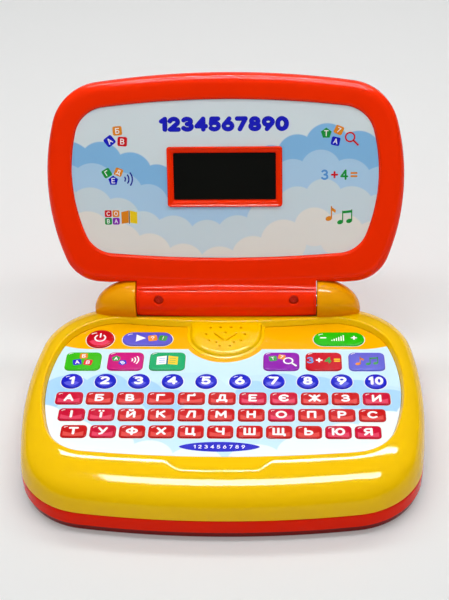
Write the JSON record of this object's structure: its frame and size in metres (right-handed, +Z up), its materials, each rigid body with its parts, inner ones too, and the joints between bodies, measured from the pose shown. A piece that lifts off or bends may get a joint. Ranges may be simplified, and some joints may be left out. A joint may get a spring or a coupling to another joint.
{
  "type": "toy laptop computer",
  "caption": "Hinged toy laptop: rounded base with a film keyboard, speaker and battery box, and a lid with a small display between two hinge domes.",
  "frame": {"origin": "middle of the open model's footprint, on the surface it stands on", "axes": "+X to the user's right, +Y to the rear, where the hinge is, +Z up"},
  "size_m": [0.253, 0.2327, 0.1874],
  "materials": {
    "orange_shell": "gloss moulded ABS",
    "red_shell": "gloss moulded ABS",
    "yellow_shell": "gloss moulded ABS",
    "keyboard_print": "printed polyester film",
    "lid_print": "printed polyester film",
    "clear_sheet": "polyester sheet",
    "number_key_blue": "printed film dome",
    "mode_green": "printed film dome",
    "mode_magenta": "printed film dome",
    "mode_teal": "printed film dome",
    "mode_purple": "printed film dome",
    "mode_red": "printed film dome",
    "mode_violet": "printed film dome",
    "power_red": "printed film dome",
    "play_blue": "printed film dome",
    "volume_green": "printed film dome",
    "letter_red": "printed film dome",
    "circuit_board": "solder mask on glass epoxy",
    "board_components": "moulded components",
    "speaker_metal": "pressed steel",
    "speaker_paper": "paper cone",
    "magnet_black": "ferrite",
    "battery_jacket": "printed steel jacket",
    "spring_steel": "nickel plated",
    "screw_steel": "zinc plated",
    "foot_rubber": "matt",
    "wire_jacket": "insulated wire",
    "display_window": "clear acrylic",
    "display_glass": "display glass"
  },
  "bodies": {
    "base": {"lower_case": "red_shell", "upper_case": "yellow_shell", "keyboard_film": "keyboard_print", "spacer_sheet": "clear_sheet", "contact_membrane": "clear_sheet", "main_board": "circuit_board", "board_parts": "board_components", "speaker_frame": "speaker_metal", "speaker_cone": "speaker_paper", "speaker_magnet": "magnet_black", "batteries": "battery_jacket", "battery_contacts": "spring_steel", "battery_springs": "spring_steel", "rubber_feet": "foot_rubber", "case_screws": "screw_steel", "hinge_pins": "spring_steel", "base_wiring": "wire_jacket"},
    "lid": {"lid_front": "orange_shell", "lid_back": "orange_shell", "hinge_cover": "orange_shell", "cover_screws": "screw_steel", "lid_screws": "screw_steel", "lid_sheet": "lid_print", "lcd_window": "display_window", "lcd_glass": "display_glass", "lcd_board": "circuit_board", "lcd_screws": "screw_steel", "lid_wiring": "wire_jacket"},
    "battery_door": {"battery_door": "red_shell", "door_screw": "screw_steel"},
    "number_key_1": {"number_key_1": "number_key_blue"},
    "number_key_2": {"number_key_2": "number_key_blue"},
    "number_key_3": {"number_key_3": "number_key_blue"},
    "number_key_4": {"number_key_4": "number_key_blue"},
    "number_key_5": {"number_key_5": "number_key_blue"},
    "number_key_6": {"number_key_6": "number_key_blue"},
    "number_key_7": {"number_key_7": "number_key_blue"},
    "number_key_8": {"number_key_8": "number_key_blue"},
    "number_key_9": {"number_key_9": "number_key_blue"},
    "number_key_10": {"number_key_10": "number_key_blue"},
    "mode_key_1": {"mode_key_1": "mode_green"},
    "mode_key_2": {"mode_key_2": "mode_magenta"},
    "mode_key_3": {"mode_key_3": "mode_teal"},
    "mode_key_4": {"mode_key_4": "mode_purple"},
    "mode_key_5": {"mode_key_5": "mode_red"},
    "mode_key_6": {"mode_key_6": "mode_violet"},
    "power_key": {"power_key": "power_red"},
    "play_key": {"play_key": "play_blue"},
    "volume_key": {"volume_key": "volume_green"},
    "letter_row_1": {"letter_row_1": "letter_red"},
    "letter_row_2": {"letter_row_2": "letter_red"},
    "letter_row_3": {"letter_row_3": "letter_red"}
  },
  "joints": [
    {"name": "lid_hinge", "type": "hinge", "parent": "base", "child": "lid", "pos_m": [0, 0.05762, 0.046], "axis": [1, 0, 0], "range_deg": [0, 110]},
    {"name": "battery_door_hinge", "type": "hinge", "parent": "base", "child": "battery_door", "pos_m": [0, -0.00583, 0.0012], "axis": [1, 0, 0], "range_deg": [0, 75]},
    {"name": "number_key_1_press", "type": "slide", "parent": "base", "child": "number_key_1", "axis": [0, 0, -1], "range_m": [0, 0.0005], "stiffness_N_per_m": 2000},
    {"name": "number_key_2_press", "type": "slide", "parent": "base", "child": "number_key_2", "axis": [0, 0, -1], "range_m": [0, 0.0005], "stiffness_N_per_m": 2000},
    {"name": "number_key_3_press", "type": "slide", "parent": "base", "child": "number_key_3", "axis": [0, 0, -1], "range_m": [0, 0.0005], "stiffness_N_per_m": 2000},
    {"name": "number_key_4_press", "type": "slide", "parent": "base", "child": "number_key_4", "axis": [0, 0, -1], "range_m": [0, 0.0005], "stiffness_N_per_m": 2000},
    {"name": "number_key_5_press", "type": "slide", "parent": "base", "child": "number_key_5", "axis": [0, 0, -1], "range_m": [0, 0.0005], "stiffness_N_per_m": 2000},
    {"name": "number_key_6_press", "type": "slide", "parent": "base", "child": "number_key_6", "axis": [0, 0, -1], "range_m": [0, 0.0005], "stiffness_N_per_m": 2000},
    {"name": "number_key_7_press", "type": "slide", "parent": "base", "child": "number_key_7", "axis": [0, 0, -1], "range_m": [0, 0.0005], "stiffness_N_per_m": 2000},
    {"name": "number_key_8_press", "type": "slide", "parent": "base", "child": "number_key_8", "axis": [0, 0, -1], "range_m": [0, 0.0005], "stiffness_N_per_m": 2000},
    {"name": "number_key_9_press", "type": "slide", "parent": "base", "child": "number_key_9", "axis": [0, 0, -1], "range_m": [0, 0.0005], "stiffness_N_per_m": 2000},
    {"name": "number_key_10_press", "type": "slide", "parent": "base", "child": "number_key_10", "axis": [0, 0, -1], "range_m": [0, 0.0005], "stiffness_N_per_m": 2000},
    {"name": "mode_key_1_press", "type": "slide", "parent": "base", "child": "mode_key_1", "axis": [0, 0, -1], "range_m": [0, 0.0005], "stiffness_N_per_m": 2000},
    {"name": "mode_key_2_press", "type": "slide", "parent": "base", "child": "mode_key_2", "axis": [0, 0, -1], "range_m": [0, 0.0005], "stiffness_N_per_m": 2000},
    {"name": "mode_key_3_press", "type": "slide", "parent": "base", "child": "mode_key_3", "axis": [0, 0, -1], "range_m": [0, 0.0005], "stiffness_N_per_m": 2000},
    {"name": "mode_key_4_press", "type": "slide", "parent": "base", "child": "mode_key_4", "axis": [0, 0, -1], "range_m": [0, 0.0005], "stiffness_N_per_m": 2000},
    {"name": "mode_key_5_press", "type": "slide", "parent": "base", "child": "mode_key_5", "axis": [0, 0, -1], "range_m": [0, 0.0005], "stiffness_N_per_m": 2000},
    {"name": "mode_key_6_press", "type": "slide", "parent": "base", "child": "mode_key_6", "axis": [0, 0, -1], "range_m": [0, 0.0005], "stiffness_N_per_m": 2000},
    {"name": "power_key_press", "type": "slide", "parent": "base", "child": "power_key", "axis": [0, 0, -1], "range_m": [0, 0.0005], "stiffness_N_per_m": 2000},
    {"name": "play_key_press", "type": "slide", "parent": "base", "child": "play_key", "axis": [0, 0, -1], "range_m": [0, 0.0005], "stiffness_N_per_m": 2000},
    {"name": "volume_key_rock", "type": "hinge", "parent": "base", "child": "volume_key", "pos_m": [0.074, 0.02692, 0.0342], "axis": [0, 1, 0], "range_deg": [-1.6, 1.6], "stiffness_Nm_per_rad": 0.5},
    {"name": "letter_row_1_press", "type": "slide", "parent": "base", "child": "letter_row_1", "axis": [0, 0, -1], "range_m": [0, 0.0005], "stiffness_N_per_m": 2000},
    {"name": "letter_row_2_press", "type": "slide", "parent": "base", "child": "letter_row_2", "axis": [0, 0, -1], "range_m": [0, 0.0005], "stiffness_N_per_m": 2000},
    {"name": "letter_row_3_press", "type": "slide", "parent": "base", "child": "letter_row_3", "axis": [0, 0, -1], "range_m": [0, 0.0005], "stiffness_N_per_m": 2000}
  ]
}
